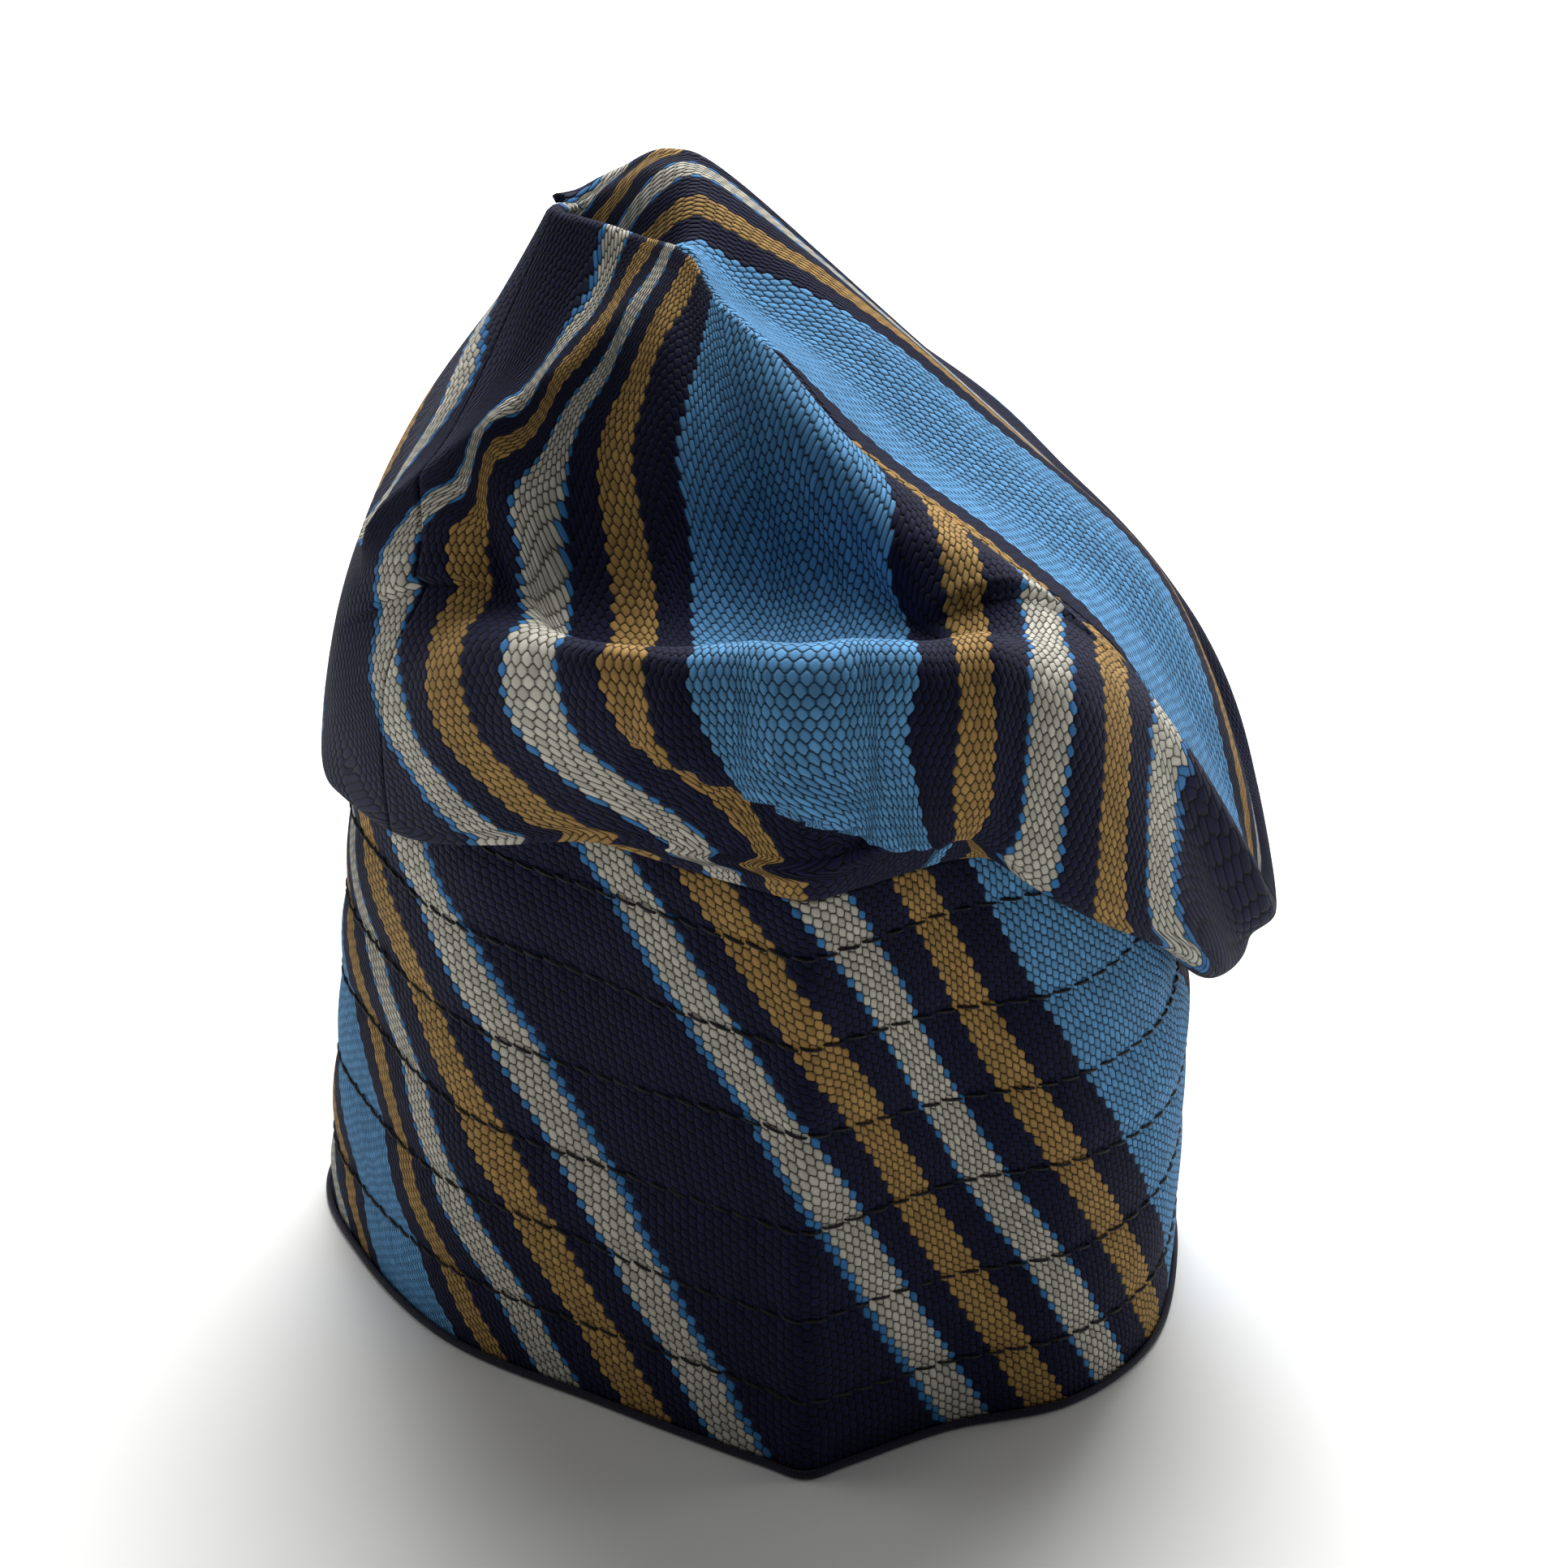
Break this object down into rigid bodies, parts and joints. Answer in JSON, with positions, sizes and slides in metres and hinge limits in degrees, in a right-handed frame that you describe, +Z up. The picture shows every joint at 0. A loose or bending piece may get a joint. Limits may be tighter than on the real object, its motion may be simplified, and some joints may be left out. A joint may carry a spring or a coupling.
{
  "type": "soft cap",
  "caption": "Soft brimless cap with a deep quilted band and a tall bag crown of striped strip cloth, folded down to one side as a flap.",
  "frame": {"origin": "under the middle of the cap, on the surface it stands on", "axes": "+Z up, -Y towards the band's front crease, +X towards the side that the crown's flap falls to"},
  "size_m": [0.1992, 0.2108, 0.225],
  "materials": {
    "strip_cloth": "matte hand-woven cotton, striped navy, white and gold",
    "blue_cloth": "matte hand-woven cotton, blue with navy, white and gold stripes",
    "canvas": "stiff unbleached canvas",
    "lining": "plain dark cotton",
    "thread": "black sewing thread"
  },
  "bodies": {
    "cap": {"band_shell": "strip_cloth", "band_stiffener": "canvas", "band_lining": "lining", "hem_tape": "lining", "quilt_row_1": "thread", "quilt_row_2": "thread", "quilt_row_3": "thread", "quilt_row_4": "thread", "quilt_row_5": "thread", "quilt_row_6": "thread", "crown_left_strip": "strip_cloth", "crown_front_strip": "strip_cloth", "crown_right_strip": "strip_cloth", "crown_top_strip": "blue_cloth", "crown_ridge_seam_front": "thread", "crown_ridge_seam_rear": "thread", "crown_seam_left": "thread", "crown_seam_rear": "thread", "crown_join_seam": "thread"},
    "flap": {"flap_front_strip": "strip_cloth", "flap_right_strip": "strip_cloth", "flap_top_strip": "blue_cloth", "flap_ridge_seam_front": "thread", "flap_ridge_seam_rear": "thread", "flap_seam_tip": "thread"}
  },
  "joints": [
    {"name": "flap_lift", "type": "hinge", "parent": "cap", "child": "flap", "pos_m": [0.07615, 0, 0.138], "axis": [0, -1, 0], "range_deg": [0, 40]}
  ]
}
